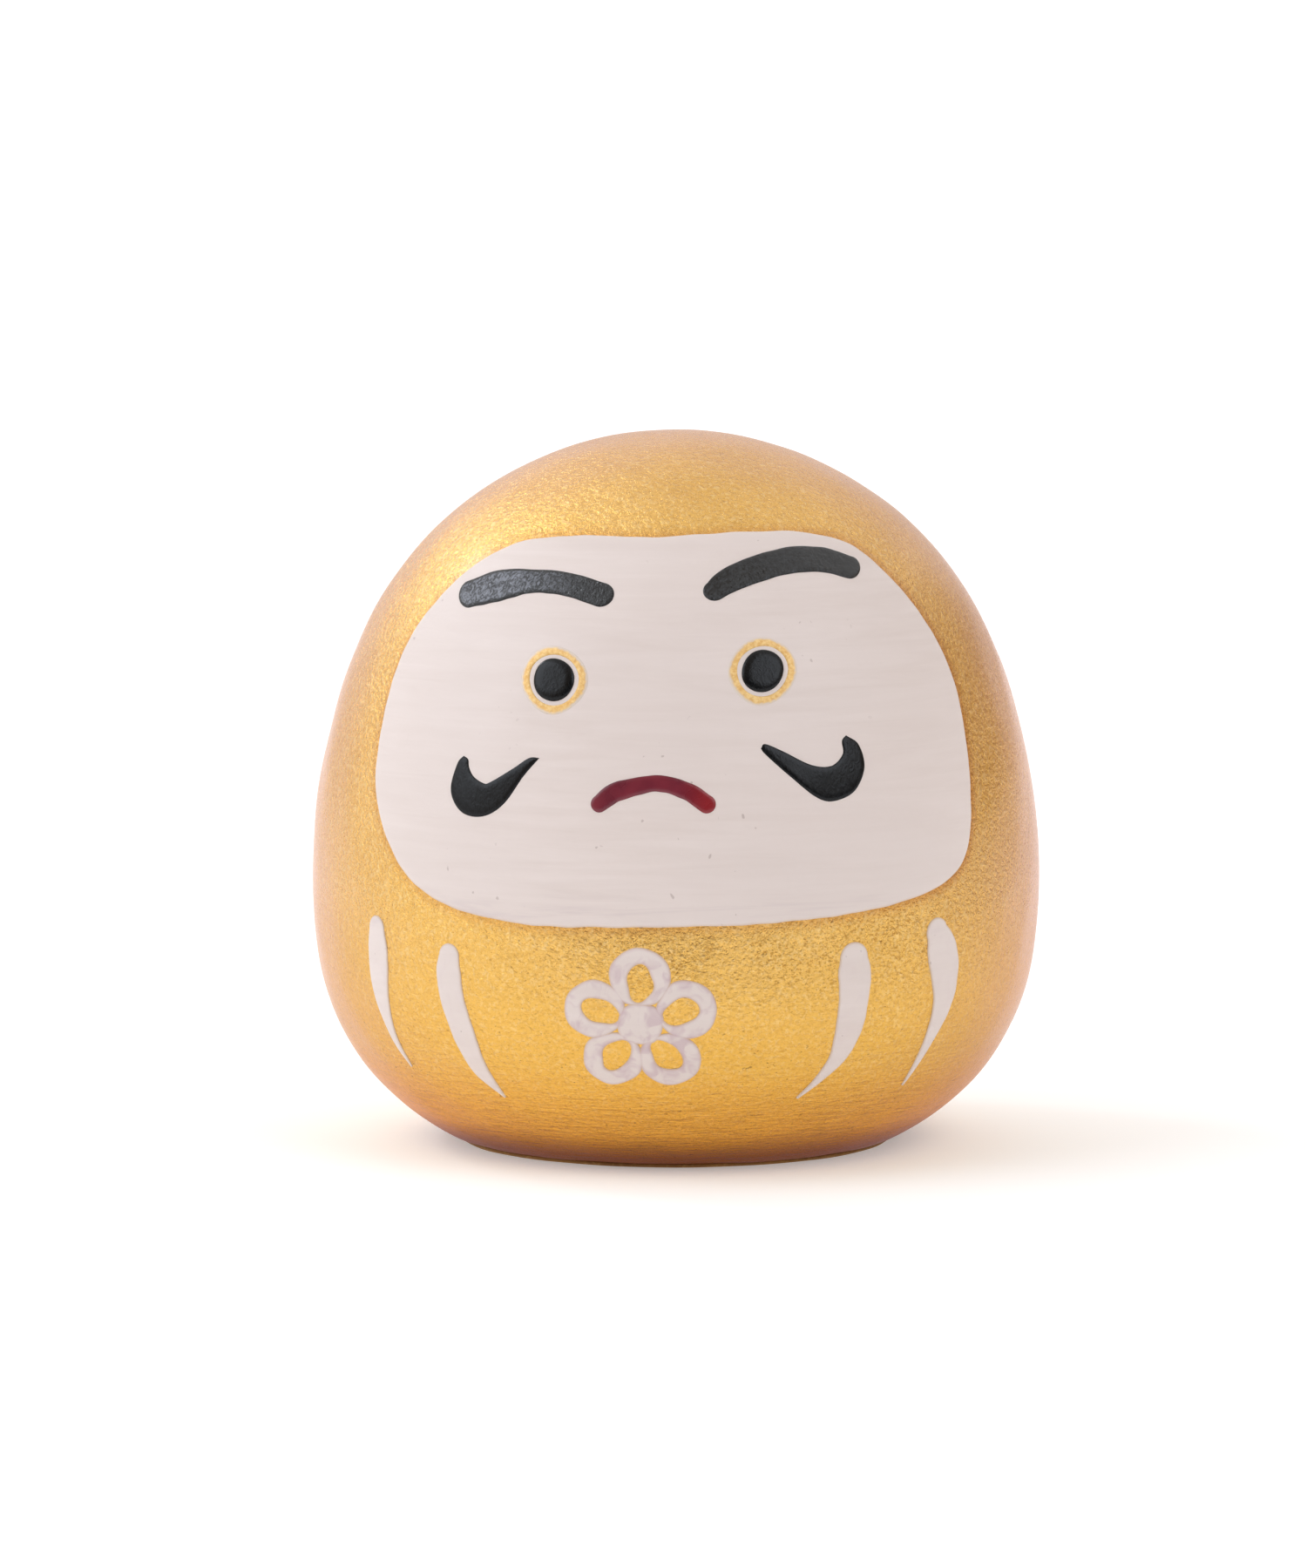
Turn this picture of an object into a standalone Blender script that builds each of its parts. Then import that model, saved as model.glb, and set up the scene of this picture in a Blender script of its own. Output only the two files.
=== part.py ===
"""Daruma doll: a hollow moulded-paper body on a weighted flat foot, with its painted face,
robe lines and emblem as raised films of paint.

Frame: +Z up, origin at the centre of the foot on the surface it stands on, face towards -Y.
Sizes are metres. A place on the body is an angle round it, in degrees from the middle of the
front towards +X, and a height above the surface that the doll stands on, in millimetres.
"""

import math

import bmesh
import bpy
import numpy as np
from mathutils import Matrix, Vector

MM = 0.001

# Body: three arcs, crown, flank and belly, each running smoothly into the next, then a small
# rounding into the flat foot. Arcs are in degrees, counted from the level top of the crown.
CROWN_RADIUS = 33.0 * MM
CROWN_ARC = 67.0
FLANK_RADIUS = 57.7 * MM
FLANK_ARC = 30.2
BELLY_RADIUS = 22.8 * MM
BELLY_ARC = 56.3
FOOT_ROUNDING = 0.8 * MM
WALL = 1.2 * MM
FOOT_LIP = 2.4 * MM

# Foot and the weight inside it.
CLEARANCE = 0.3 * MM
BASE_PAPER = 0.4 * MM
BASE_PAPER_INSET = 0.5 * MM
BASE_CARD = 1.2 * MM
WEIGHT_RADIUS = 15.0 * MM
WEIGHT_HEIGHT = 9.0 * MM
WEIGHT_PAPER = 0.4 * MM
WEIGHT_PAPER_BRIM = 2.8 * MM

# Paint: a film's thickness, and how far a film's cutter reaches past the surface.
FILM = 0.3 * MM
CUTTER_REACH = 2.0 * MM
ON_BODY = 0
ON_FACE = 1

# The edge of the face, as places on the body.
FACE_EDGE = (
    (0, 59.65), (24, 60.05), (40, 59.65), (50, 58.1), (57, 52.85), (60.2, 46.85), (59.3, 40.3),
    (56.8, 32.0), (52.1, 28.2), (42, 26.25), (24, 25.0), (0, 24.5), (-20, 24.55), (-35.5, 26.15),
    (-44.8, 29.8), (-51.6, 35.85), (-53.8, 43.35), (-53, 49.85), (-47, 55.35), (-37, 58.6),
    (-20, 59.65),
)  # fmt: skip

# Brush strokes: angle, height and width in millimetres along the middle of each stroke.
STROKES = {
    "brow_left": (
        (-41.0, 53.95, 2.85), (-36.0, 54.65, 3.3), (-31.2, 55.2, 3.1), (-26.3, 55.45, 2.55),
        (-21.3, 55.45, 2.6), (-16.2, 55.1, 2.6), (-11.1, 54.5, 2.65),
    ),
    "brow_right": (
        (11.8, 54.85, 2.2), (14.4, 55.6, 2.75), (19.8, 56.5, 3.05),
        (28.5, 57.3, 3.15), (37.5, 57.3, 2.9), (44.0, 56.45, 2.5),
    ),
    "mouth": (
        (-7.9, 35.85, 1.6), (-5.0, 37.0, 1.8), (1.0, 37.75, 1.5), (5.6, 37.1, 1.65), (8.8, 35.85, 1.65),
    ),
    "robe_line_outer_left": (
        (-49.5, 22.7, 2.5), (-49.6, 20.7, 3.2), (-49.8, 18.4, 3.0), (-49.8, 16.3, 2.4),
        (-49.7, 13.8, 1.5), (-49.4, 11.6, 0.9), (-48.2, 9.5, 0.3),
    ),
    "robe_line_inner_left": (
        (-33.3, 21.0, 2.4), (-33.6, 19.5, 2.95), (-33.5, 17.5, 2.9), (-32.8, 15.1, 2.8),
        (-32.0, 12.7, 2.5), (-30.8, 10.1, 1.75), (-28.0, 7.5, 0.3),
    ),
    "robe_line_inner_right": (
        (32.4, 21.2, 3.0), (32.6, 19.8, 3.5), (32.8, 17.2, 3.2), (32.6, 15.0, 2.95),
        (32.1, 13.0, 2.4), (31.1, 11.3, 1.55), (28.5, 9.3, 0.75), (25.9, 7.8, 0.3),
    ),
    "robe_line_outer_right": (
        (48.2, 22.9, 2.8), (49.1, 21.8, 3.8), (50.2, 20.0, 4.1), (50.8, 17.8, 3.4),
        (50.9, 15.7, 2.55), (50.3, 13.6, 1.75), (49.4, 11.2, 1.0), (48.1, 8.1, 0.3),
    ),
}  # fmt: skip

# The hooked moustache strokes, by their edges.
MOUSTACHES = {
    "moustache_left": (
        (-32.1, 39.6), (-33.1, 38.9), (-33.8, 36.8), (-32.9, 35.4), (-30.9, 34.4), (-28.2, 34.15),
        (-25.6, 34.6), (-23.2, 35.8), (-20.6, 38.1), (-18.2, 39.8), (-20.0, 39.75), (-22.7, 38.7),
        (-26.4, 37.4), (-27.6, 37.25), (-29.6, 37.8), (-30.7, 38.6), (-31.1, 39.3),
    ),
    "moustache_right": (
        (17.7, 40.8), (18.5, 40.2), (22.2, 38.2), (26.1, 36.3), (29.1, 35.8), (33.0, 36.6),
        (35.3, 38.7), (34.8, 40.8), (32.7, 41.7), (31.8, 41.2), (31.6, 40.0), (29.3, 39.0),
        (25.8, 39.2), (21.4, 40.5), (18.5, 41.2),
    ),
}  # fmt: skip

# Eyes: a thick drop, a strip of the white face left bare round it, and a ring.
EYES = {"left": (-17.3, 46.85), "right": (19.2, 47.75)}
PUPIL_RADIUS = 2.03 * MM
EYE_WHITE = 0.4 * MM
EYE_RING_WIDTH = 0.82 * MM

# Emblem: a plum blossom of round petals that overlap, each a brush line round an opening
# that is stretched towards the flower's middle.
CREST_PLACE = (-1.5, 15.45)
PETALS = 5
PETAL_RADIUS = 2.85 * MM
PETAL_OVERLAP = 0.2 * MM
PETAL_LINE = 1.65 * MM
PETAL_STRETCH = 0.55 * MM

# Steps round the turned shapes, outside and inside, and points in each stretch of a curve.
TURN_STEPS = 56
INNER_TURN_STEPS = 40
DEGREES_A_FACET = 6.0
POINTS_A_SPAN = 3
CAP_POINTS = 5
CIRCLE_POINTS = 28
PETAL_POINTS = 10

FOOT_HEIGHT = BASE_PAPER + CLEARANCE
WEIGHT_BASE = FOOT_HEIGHT + BASE_CARD + CLEARANCE


# ---------------------------------------------------------------- the body's outer curve


def body_arcs():
    """(centre r, centre z, radius, first and last heading) of each arc, crown first.

    A heading is the angle of the surface's normal from straight up.
    """
    radii = (CROWN_RADIUS, FLANK_RADIUS, BELLY_RADIUS, FOOT_ROUNDING)
    turns = (CROWN_ARC, FLANK_ARC, BELLY_ARC, 180 - CROWN_ARC - FLANK_ARC - BELLY_ARC)
    r, z, heading = 0.0, 0.0, 0.0
    arcs = []
    for radius, turn in zip(radii, turns):
        centre_r = r - radius * math.sin(heading)
        centre_z = z - radius * math.cos(heading)
        last = heading + math.radians(turn)
        arcs.append([centre_r, centre_z, radius, heading, last])
        r = centre_r + radius * math.sin(last)
        z = centre_z + radius * math.cos(last)
        heading = last
    for arc in arcs:
        arc[1] += FOOT_HEIGHT - z
    return arcs


def body_curve(offset, arcs=4):
    """Points (r, z) along the body's surface moved out by offset, from the crown down."""
    points = []
    for centre_r, centre_z, radius, first, last in body_arcs()[:arcs]:
        facets = max(2, round(math.degrees(last - first) / DEGREES_A_FACET))
        for heading in np.linspace(first, last, facets + 1):
            points.append((
                centre_r + (radius + offset) * math.sin(heading),
                centre_z + (radius + offset) * math.cos(heading),
            ))
        points.pop()
    points.append((
        centre_r + (radius + offset) * math.sin(last),
        centre_z + (radius + offset) * math.cos(last),
    ))
    points[0] = (0.0, points[0][1])
    return points


def on_body(angle, height):
    """The surface point and its outward normal at an angle in degrees and a height in metres."""
    for centre_r, centre_z, radius, first, last in body_arcs():
        if height >= centre_z + radius * math.cos(last):
            break
    heading = math.acos(min(1.0, (height - centre_z) / radius))
    r = centre_r + radius * math.sin(heading)
    turn = math.radians(angle)
    out = Vector((math.sin(turn), -math.cos(turn), 0))
    return out * r + Vector((0, 0, height)), out * math.sin(heading) + Vector((0, 0, math.cos(heading)))


def frame_on_body(angle, height, level=False):
    """A frame on the surface: X along the body to the right, Y up along it, Z outwards.

    A level frame keeps Z horizontal instead of square to the surface.
    """
    point, normal = on_body(angle, height)
    turn = math.radians(angle)
    right = Vector((math.cos(turn), math.sin(turn), 0))
    if level:
        normal = Vector((math.sin(turn), -math.cos(turn), 0))
    up = normal.cross(right)
    return Matrix.Translation(point) @ Matrix((right, up, normal)).transposed().to_4x4()


def in_frame(frame, places):
    """The places (angle, height in mm) as an array of x, y, z in a frame on the body."""
    back = frame.inverted()
    return np.array([back @ on_body(angle, height * MM)[0] for angle, height in places])


# ---------------------------------------------------------------- curves


def smooth(points, closed):
    """Points on the Catmull-Rom curve through the given ones, in any number of columns."""
    points = np.array(points, float)
    count = len(points)
    if closed:
        padded = np.vstack((points[-1:], points, points[:2]))
        spans = count
    else:
        first = 2 * points[0] - points[1]
        last = 2 * points[-1] - points[-2]
        padded = np.vstack((first, points, last))
        spans = count - 1
    steps = np.arange(POINTS_A_SPAN)[:, None] / POINTS_A_SPAN
    curve = []
    for span in range(spans):
        before, start, end, after = padded[span : span + 4]
        curve.append(
            0.5 * (
                2 * start
                + (end - before) * steps
                + (2 * before - 5 * start + 4 * end - after) * steps**2
                + (3 * start - before - 3 * end + after) * steps**3
            )
        )
    if not closed:
        curve.append(points[-1:])
    return np.vstack(curve)


def circle(radius):
    turn = np.arange(CIRCLE_POINTS) * 2 * math.pi / CIRCLE_POINTS
    return radius * np.column_stack((np.cos(turn), np.sin(turn)))


def brush_outline(spine):
    """The outline of a stroke with round ends. spine holds x, y and width along its middle."""
    path = smooth(spine, closed=False)
    along = np.gradient(path[:, :2], axis=0)
    along /= np.linalg.norm(along, axis=1)[:, None]
    aside = np.column_stack((-along[:, 1], along[:, 0]))
    half = path[:, 2:] / 2
    left = path[:, :2] + aside * half
    right = path[:, :2] - aside * half
    swing = np.linspace(0, math.pi, CAP_POINTS + 2)[1:-1, None]
    end_cap = path[-1, :2] + half[-1] * (np.cos(swing) * aside[-1] + np.sin(swing) * along[-1])
    start_cap = path[0, :2] - half[0] * (np.cos(swing) * aside[0] + np.sin(swing) * along[0])
    return np.vstack((left, end_cap, right[::-1], start_cap))


def petal_distance():
    """From the flower's middle to a petal's, so that neighbours overlap by PETAL_OVERLAP."""
    return (PETAL_RADIUS - PETAL_OVERLAP) / math.sin(math.pi / PETALS)


def blossom_loops():
    """The outline of a ring of round petals that overlap, then the opening in each petal."""
    half = math.pi / PETALS
    distance = petal_distance()
    swing = np.linspace(-half, half, PETAL_POINTS, endpoint=False)
    chord = np.sqrt(PETAL_RADIUS**2 - (distance * np.sin(swing)) ** 2)
    reach = distance * np.cos(swing) + chord
    turns = math.pi / 2 + np.arange(PETALS) * 2 * half
    edge = [
        np.column_stack((reach * np.cos(turn + swing), reach * np.sin(turn + swing))) for turn in turns
    ]
    loops = [np.vstack(edge)]
    ellipse = circle(PETAL_RADIUS - PETAL_LINE)[::2]
    ellipse[:, 0] *= 1 + PETAL_STRETCH / (PETAL_RADIUS - PETAL_LINE)
    ellipse[:, 0] += distance - PETAL_STRETCH
    for turn in turns:
        swung = np.array(((math.cos(turn), math.sin(turn)), (-math.sin(turn), math.cos(turn))))
        loops.append(ellipse @ swung)
    return loops


# ---------------------------------------------------------------- building blocks


def clear_scene():
    for thing in list(bpy.data.objects):
        bpy.data.objects.remove(thing, do_unlink=True)


def new_collection(name):
    collection = bpy.data.collections.new(name)
    bpy.context.scene.collection.children.link(collection)
    return collection


def linear(colour):
    """A colour written as six hexadecimal digits, in the linear values that a shader takes."""
    parts = [int(colour[i : i + 2], 16) / 255 for i in (0, 2, 4)]
    return [part / 12.92 if part <= 0.04045 else ((part + 0.055) / 1.055) ** 2.4 for part in parts] + [1]


def finish(name, colour, roughness, metallic=0.0):
    material = bpy.data.materials.new(name)
    material.use_nodes = True
    shader = material.node_tree.nodes["Principled BSDF"]
    shader.inputs["Base Color"].default_value = linear(colour)
    shader.inputs["Roughness"].default_value = roughness
    shader.inputs["Metallic"].default_value = metallic
    material.diffuse_color = linear(colour)
    return material


def place_piece(name, mesh, material, collection):
    piece = bpy.data.objects.new(name, mesh)
    piece.data.materials.append(material)
    collection.objects.link(piece)
    return piece


def profile_mesh(name, points):
    mesh = bpy.data.meshes.new(name)
    edges = [(i, i + 1) for i in range(len(points) - 1)]
    mesh.from_pydata([(r, 0, z) for r, z in points], edges, [])
    return mesh


def turned(name, points, material, collection, steps=TURN_STEPS):
    """A turned piece from its section, which runs from the axis out, down and back in."""
    piece = place_piece(name, profile_mesh(name, points), material, collection)
    screw = piece.modifiers.new("turn", "SCREW")
    screw.steps = screw.render_steps = steps
    screw.use_merge_vertices = True
    screw.merge_threshold = 0.01 * MM
    screw.use_smooth_shade = True
    return piece


def disc(name, radius, bottom, thickness, material, collection):
    shape = bmesh.new()
    bmesh.ops.create_cone(
        shape, cap_ends=True, segments=TURN_STEPS, radius1=radius, radius2=radius, depth=thickness
    )
    mesh = bpy.data.meshes.new(name)
    shape.to_mesh(mesh)
    shape.free()
    piece = place_piece(name, mesh, material, collection)
    piece.location.z = bottom + thickness / 2
    return piece


def film_cutter(name, loops, frame, lowest, collection):
    """A prism through the surface, with the outline given by loops in a frame on the body."""
    curve = bpy.data.curves.new(name, "CURVE")
    curve.dimensions = "2D"
    curve.fill_mode = "BOTH"
    curve.extrude = (CUTTER_REACH - lowest) / 2
    for loop in loops:
        spline = curve.splines.new("POLY")
        spline.points.add(len(loop) - 1)
        flat = np.column_stack((loop, np.zeros(len(loop)), np.ones(len(loop))))
        spline.points.foreach_set("co", flat.ravel())
        spline.use_cyclic_u = True
    outline = bpy.data.objects.new(name + "_outline", curve)
    outline.matrix_world = frame @ Matrix.Translation((0, 0, (CUTTER_REACH + lowest) / 2))
    collection.objects.link(outline)
    bpy.context.view_layer.update()
    evaluated = outline.evaluated_get(bpy.context.evaluated_depsgraph_get())
    mesh = bpy.data.meshes.new_from_object(evaluated)
    shape = bmesh.new()
    shape.from_mesh(mesh)
    bmesh.ops.remove_doubles(shape, verts=shape.verts, dist=0.001 * MM)
    bmesh.ops.recalc_face_normals(shape, faces=shape.faces)
    shape.to_mesh(mesh)
    shape.free()
    cutter = bpy.data.objects.new(name + "_cutter", mesh)
    cutter.matrix_world = outline.matrix_world
    cutter.hide_render = True
    cutter.display_type = "WIRE"
    collection.objects.link(cutter)
    bpy.data.objects.remove(outline)
    return cutter


def skin_section(layer):
    """The section of a thin skin round the body, as thick as one film, on the body or the face."""
    bottom = CLEARANCE + layer * (FILM + CLEARANCE)
    outer = body_curve(bottom + FILM, arcs=3)
    inner = body_curve(bottom, arcs=3)
    return outer + inner[::-1]


def film(name, loops, frame, lowest, layer, material, collections):
    """A film of paint: the stretch of a skin round the body that lies inside an outline."""
    doll, cutters = collections
    cutter = film_cutter(name, loops, frame, lowest, cutters)
    piece = turned(name, skin_section(layer), material, doll)
    cut = piece.modifiers.new("edge", "BOOLEAN")
    cut.operation = "INTERSECT"
    cut.solver = "EXACT"
    cut.object = cutter
    return piece


# ---------------------------------------------------------------- the pieces


def make_body(material, doll):
    """The moulded-paper shell, with a lip turned in round its open foot."""
    outer = body_curve(0)
    inner = body_curve(-WALL, arcs=3)
    opening = opening_radius()
    lip = [(opening, FOOT_HEIGHT), (opening, FOOT_HEIGHT + WALL)]
    turned("body_shell", outer + lip + inner[::-1], material, doll)


def opening_radius():
    """The radius of the hole in the foot, measured in from the flat foot's edge."""
    return body_curve(0)[-1][0] - FOOT_LIP


def make_foot(paper, card, clay, doll):
    """The base paper and card, and the clay weight under its pasted paper."""
    foot_edge = body_curve(0)[-1][0]
    disc("base_paper", foot_edge - BASE_PAPER_INSET, 0, BASE_PAPER, paper, doll)
    disc("base_disc", opening_radius() - CLEARANCE, FOOT_HEIGHT, BASE_CARD, card, doll)

    # A cap of a sphere, whose radius follows from the weight's own radius and height.
    sphere = (WEIGHT_RADIUS**2 + WEIGHT_HEIGHT**2) / (2 * WEIGHT_HEIGHT)
    centre = WEIGHT_BASE + WEIGHT_HEIGHT - sphere

    def cap(radius, bottom):
        last = math.acos((bottom - centre) / radius)
        facets = round(math.degrees(last) / DEGREES_A_FACET)
        sweep = np.linspace(0, last, facets + 1)
        return [(radius * math.sin(turn), centre + radius * math.cos(turn)) for turn in sweep]

    section = cap(sphere, WEIGHT_BASE) + [(0, WEIGHT_BASE)]
    turned("clay_weight", section, clay, doll, INNER_TURN_STEPS)

    inside = sphere + CLEARANCE
    outside = inside + WEIGHT_PAPER
    brim = WEIGHT_RADIUS + WEIGHT_PAPER_BRIM
    section = cap(outside, WEIGHT_BASE + WEIGHT_PAPER)
    section += [(brim, WEIGHT_BASE + WEIGHT_PAPER), (brim, WEIGHT_BASE)]
    section += cap(inside, WEIGHT_BASE)[::-1]
    turned("weight_paper", section, paper, doll, INNER_TURN_STEPS)


def make_face(white, collections):
    """The thick off-white coat of the face."""
    frame = frame_on_body(0, body_arcs()[1][1], level=True)
    edge = in_frame(frame, smooth(FACE_EDGE, closed=True))
    lowest = edge[:, 2].min() - CUTTER_REACH
    film("face_coat", [edge[:, :2]], frame, lowest, ON_BODY, white, collections)


def make_strokes(finishes, collections):
    """The brows, the mouth and the four robe lines, each one stroke of a round brush."""
    for name, spine in STROKES.items():
        middle = spine[len(spine) // 2]
        frame = frame_on_body(middle[0], middle[1] * MM)
        places = in_frame(frame, [(angle, height) for angle, height, width in spine])
        widths = np.array([width * MM for angle, height, width in spine])
        outline = brush_outline(np.column_stack((places[:, :2], widths)))
        kind = name.split("_")[0]
        layer = ON_BODY if kind == "robe" else ON_FACE
        lowest = places[:, 2].min() - CUTTER_REACH
        film(name, [outline], frame, lowest, layer, finishes[kind], collections)


def make_moustaches(black, collections):
    """The two hooked strokes beside the mouth."""
    for name, edge in MOUSTACHES.items():
        angle, height = np.mean(edge, axis=0)
        frame = frame_on_body(angle, height * MM)
        outline = in_frame(frame, smooth(edge, closed=True))
        lowest = outline[:, 2].min() - CUTTER_REACH
        film(name, [outline[:, :2]], frame, lowest, ON_FACE, black, collections)


def make_eyes(ring_gold, black, collections):
    """A gold ring and a black drop for each eye."""
    ring_inside = PUPIL_RADIUS + EYE_WHITE
    ring = [circle(ring_inside + EYE_RING_WIDTH), circle(ring_inside)]
    for side, (angle, height) in EYES.items():
        frame = frame_on_body(angle, height * MM)
        film("eye_ring_" + side, ring, frame, -CUTTER_REACH, ON_FACE, ring_gold, collections)
        film("pupil_" + side, [circle(PUPIL_RADIUS)], frame, -CUTTER_REACH, ON_FACE, black, collections)


def make_crest(white, collections):
    """The blossom emblem on the belly."""
    angle, height = CREST_PLACE
    frame = frame_on_body(angle, height * MM)
    reach = petal_distance() + PETAL_RADIUS
    fall = reach**2 / BELLY_RADIUS
    film("crest", blossom_loops(), frame, -fall - CUTTER_REACH, ON_BODY, white, collections)


clear_scene()
collections = (new_collection("daruma_doll"), new_collection("cutters"))
doll = collections[0]

gold = finish("gold_paint", "E0AE52", 0.42, 0.85)
white = finish("off_white_paint", "E3DAD4", 0.5)
black = finish("black_enamel", "262728", 0.25)
red = finish("dark_red_enamel", "8A2A34", 0.25)
ring_gold = finish("ring_gold_paint", "E9BE5C", 0.4, 0.8)
paper = finish("pasted_paper", "D9CDB4", 0.9)
card = finish("grey_card", "A3937B", 0.9)
clay = finish("dried_clay", "8F7B66", 0.95)

make_body(gold, doll)
make_foot(paper, card, clay, doll)
make_face(white, collections)
make_strokes({"brow": black, "mouth": red, "robe": white}, collections)
make_moustaches(black, collections)
make_eyes(ring_gold, black, collections)
make_crest(white, collections)
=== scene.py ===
import math

import bpy
import numpy as np
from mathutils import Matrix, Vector


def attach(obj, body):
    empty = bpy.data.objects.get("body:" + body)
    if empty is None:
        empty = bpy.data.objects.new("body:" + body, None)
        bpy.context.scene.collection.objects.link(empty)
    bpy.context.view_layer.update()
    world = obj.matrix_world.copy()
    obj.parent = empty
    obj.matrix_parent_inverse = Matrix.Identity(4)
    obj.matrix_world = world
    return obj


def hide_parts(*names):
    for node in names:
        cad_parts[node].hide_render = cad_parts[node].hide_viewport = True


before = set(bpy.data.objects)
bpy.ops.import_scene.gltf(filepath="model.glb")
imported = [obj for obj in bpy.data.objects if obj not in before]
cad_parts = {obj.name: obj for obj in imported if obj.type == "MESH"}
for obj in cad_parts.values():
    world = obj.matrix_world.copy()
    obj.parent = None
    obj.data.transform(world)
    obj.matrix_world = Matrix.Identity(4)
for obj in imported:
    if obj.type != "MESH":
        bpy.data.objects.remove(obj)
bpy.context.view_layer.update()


# ---------------------------------------------------------------- stage, light and camera
# The doll stands on a plain white board inside a studio light tent: white cloth all round, a
# large soft window and a small lamp high on the left, a fill light on the right, and a dim
# front, where the camera looks in.

MM = 0.001
CAMERA_TURN = 4.0
CAMERA_RISE = 6.2
CAMERA_DISTANCE = 750 * MM
CAMERA_AIM = Vector((0, 0, 34 * MM))
CAMERA_LENS = 178.8
CAMERA_SENSOR = 36.0
CAMERA_SHIFT = (-0.0142, 0.0005)
FLOOR_RADIUS = 18.0
FLOOR_RINGS = 24
FLOOR_SPOKES = 96
BOARD_WHITE = (0.8, 0.8, 0.8)
BOARD_GLOW = 0.3
# The tent's cloth is TENT_WHITE by the floor and TENT_TOP overhead, and turns from one to the
# other between two heights, as shares of the way straight up.
TENT_WHITE = 0.86
TENT_TOP = 1.03
TENT_TURN = (0.12, 0.55)
# Each patch of the tent: its turn and rise, its half width, how soft its edge is, all in
# degrees, and the brightness there.
DARK_FRONT = (25, -6, 40, 57, 0.04)
SIDE_LAMP = (-119, 38, 2, 5, 14.0)
FRONT_FILL = (55, 37, 15, 12, 2.4)
BACK_CLOTH = (-142, 30, 8, 26, 1.25)
FAR_SIDE = (124, 1, 5, 29, 0.31)
SIDE_WINDOW = (-68, 36, 15, 14, 2.75)
# The colour of the light by its brightness: brown where the cloth is dark, warm where it is
# white, and cool from the lamps.
DARK_TONE = (1.2, 0.78, 0.4)
WHITE_TONE = (1.0, 0.98, 0.97)
LAMP_TONE = (0.95, 1.0, 1.08)


def towards(turn, rise):
    """The direction at an angle round from the doll's front towards +X, and one above level."""
    turn, rise = math.radians(turn), math.radians(rise)
    return Vector((math.sin(turn) * math.cos(rise), -math.cos(turn) * math.cos(rise), math.sin(rise)))


lens = bpy.data.cameras.new("camera")
lens.lens = CAMERA_LENS
lens.sensor_width = CAMERA_SENSOR
lens.shift_x, lens.shift_y = CAMERA_SHIFT
lens.clip_end = 100.0
camera = bpy.data.objects.new("camera", lens)
camera.location = CAMERA_AIM + towards(CAMERA_TURN, CAMERA_RISE) * CAMERA_DISTANCE
camera.rotation_euler = towards(CAMERA_TURN, CAMERA_RISE).to_track_quat("Z", "Y").to_euler()
bpy.context.scene.collection.objects.link(camera)
bpy.context.scene.camera = camera
bpy.context.scene.view_settings.view_transform = "Standard"


class Wire:
    """One output of a node. Sums, differences and products of it add Math nodes."""

    def __init__(self, tree, socket):
        self.tree, self.socket = tree, socket

    def math(self, operation, *values):
        node = self.tree.nodes.new("ShaderNodeMath")
        node.operation = operation
        for socket, value in zip(node.inputs, values):
            feed(self.tree, socket, value)
        return Wire(self.tree, node.outputs[0])

    def __add__(self, other):
        return self.math("ADD", self, other)

    def __sub__(self, other):
        return self.math("SUBTRACT", self, other)

    def __rsub__(self, other):
        return self.math("SUBTRACT", other, self)

    def __mul__(self, other):
        return self.math("MULTIPLY", self, other)

    __radd__, __rmul__ = __add__, __mul__

    def between(self, low, high):
        """0 below low, 1 above high, and an even climb in between. High may be the lower one."""
        climb = self.math("DIVIDE", self - low, high - low)
        return climb.math("MINIMUM", climb.math("MAXIMUM", climb, 0.0), 1.0)


def feed(tree, socket, value):
    """Links a wire to a socket, or sets the socket's own value."""
    if isinstance(value, Wire):
        tree.links.new(value.socket, socket)
    elif socket.type == "RGBA" and len(value) == 3:
        socket.default_value = (*value, 1)
    else:
        socket.default_value = value


def linear(colour):
    """A colour written as six hexadecimal digits, in the linear values that a shader takes."""
    parts = [int(colour[i : i + 2], 16) / 255 for i in (0, 2, 4)]
    return [part / 12.92 if part <= 0.04045 else ((part + 0.055) / 1.055) ** 2.4 for part in parts]


class Nodes:
    """A node tree being made, of a material or of the light tent."""

    def __init__(self, tree):
        self.tree = tree

    def node(self, kind, output, settings, *values, **named):
        """Adds a node: its kind, the output wanted, its settings, then its sockets' values."""
        node = self.tree.nodes.new("ShaderNode" + kind)
        for name, value in settings.items():
            setattr(node, name, value)
        for socket, value in zip(node.inputs, values):
            feed(self.tree, socket, value)
        for name, value in named.items():
            feed(self.tree, node.inputs[name.replace("_", " ")], value)
        return Wire(self.tree, node.outputs[output])

    def mix(self, share, first, second):
        """The first colour turned into the second by a share from 0 to 1."""
        node = self.tree.nodes.new("ShaderNodeMix")
        node.data_type = "RGBA"
        for place, value in zip((0, 6, 7), (share, first, second)):
            feed(self.tree, node.inputs[place], value)
        return Wire(self.tree, node.outputs[2])

    def part(self, vector, axis):
        return self.node("SeparateXYZ", axis, {}, vector)


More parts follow.
